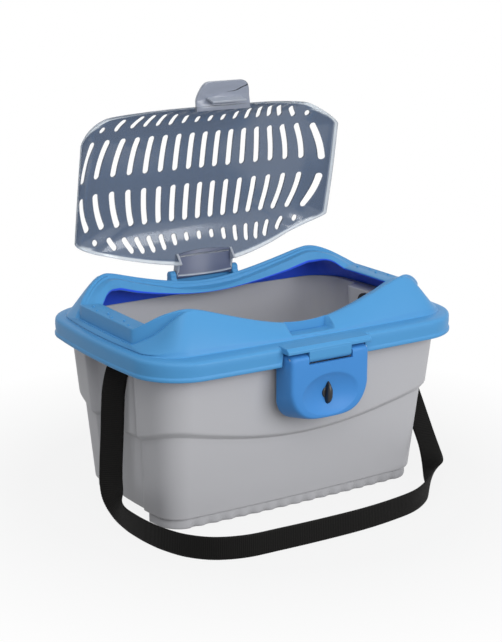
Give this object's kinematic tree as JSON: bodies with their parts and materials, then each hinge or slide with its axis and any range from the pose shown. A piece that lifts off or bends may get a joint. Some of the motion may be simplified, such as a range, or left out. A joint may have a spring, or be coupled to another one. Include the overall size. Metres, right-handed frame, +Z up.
{
  "type": "small-animal carrier",
  "caption": "Small-animal carrier: grey tub, lift-off blue cover ring, hinged smoky vented lid, drop latches with turn locks and a webbing shoulder strap.",
  "frame": {"origin": "middle of the base, on the surface it stands on", "axes": "+X along the length, -Y out of the front latch, +Z up; the lid is drawn standing open on its rear hinge"},
  "size_m": [0.4038, 0.3444, 0.4364],
  "materials": {
    "tub_grey": "moulded, faint grain, semi-matt",
    "cover_blue": "moulded, satin gloss",
    "latch_blue": "moulded, satin gloss",
    "lid_smoke": "translucent smoky blue-grey, polished",
    "black_plastic": "moulded, satin",
    "steel": "plain pin",
    "webbing": "woven flat webbing, fine cross ribs"
  },
  "bodies": {
    "tub": {"tub": "tub_grey", "left_strap_button": "black_plastic", "right_strap_button": "black_plastic", "left_strap_washer": "black_plastic", "right_strap_washer": "black_plastic", "strap": "webbing"},
    "cover": {"cover": "cover_blue", "lid_hinge_pin": "steel", "front_latch_pin": "steel", "rear_latch_pin": "steel"},
    "lid": {"lid": "lid_smoke"},
    "front_latch": {"front_latch": "latch_blue"},
    "rear_latch": {"rear_latch": "latch_blue"},
    "front_lock": {"front_lock_knob": "black_plastic", "front_lock_cam": "black_plastic", "front_cam_screw": "steel"},
    "rear_lock": {"rear_lock_knob": "black_plastic", "rear_lock_cam": "black_plastic", "rear_cam_screw": "steel"}
  },
  "joints": [
    {"name": "cover_lift", "type": "slide", "parent": "tub", "child": "cover", "axis": [0, 0, 1], "range_m": [0, 0.15]},
    {"name": "lid_hinge", "type": "hinge", "parent": "cover", "child": "lid", "pos_m": [0, 0.1075, 0.2188], "axis": [1, 0, 0], "range_deg": [-25, 79]},
    {"name": "front_latch_hinge", "type": "hinge", "parent": "cover", "child": "front_latch", "pos_m": [0, -0.1422, 0.1815], "axis": [-1, 0, 0], "range_deg": [0, 90]},
    {"name": "rear_latch_hinge", "type": "hinge", "parent": "cover", "child": "rear_latch", "pos_m": [0, 0.1422, 0.1815], "axis": [1, 0, 0], "range_deg": [0, 90]},
    {"name": "front_lock_turn", "type": "hinge", "parent": "front_latch", "child": "front_lock", "pos_m": [0, -0.1425, 0.1405], "axis": [0, 1, 0], "range_deg": [0, 90]},
    {"name": "rear_lock_turn", "type": "hinge", "parent": "rear_latch", "child": "rear_lock", "pos_m": [0, 0.1425, 0.1405], "axis": [0, -1, 0], "range_deg": [0, 90]}
  ]
}
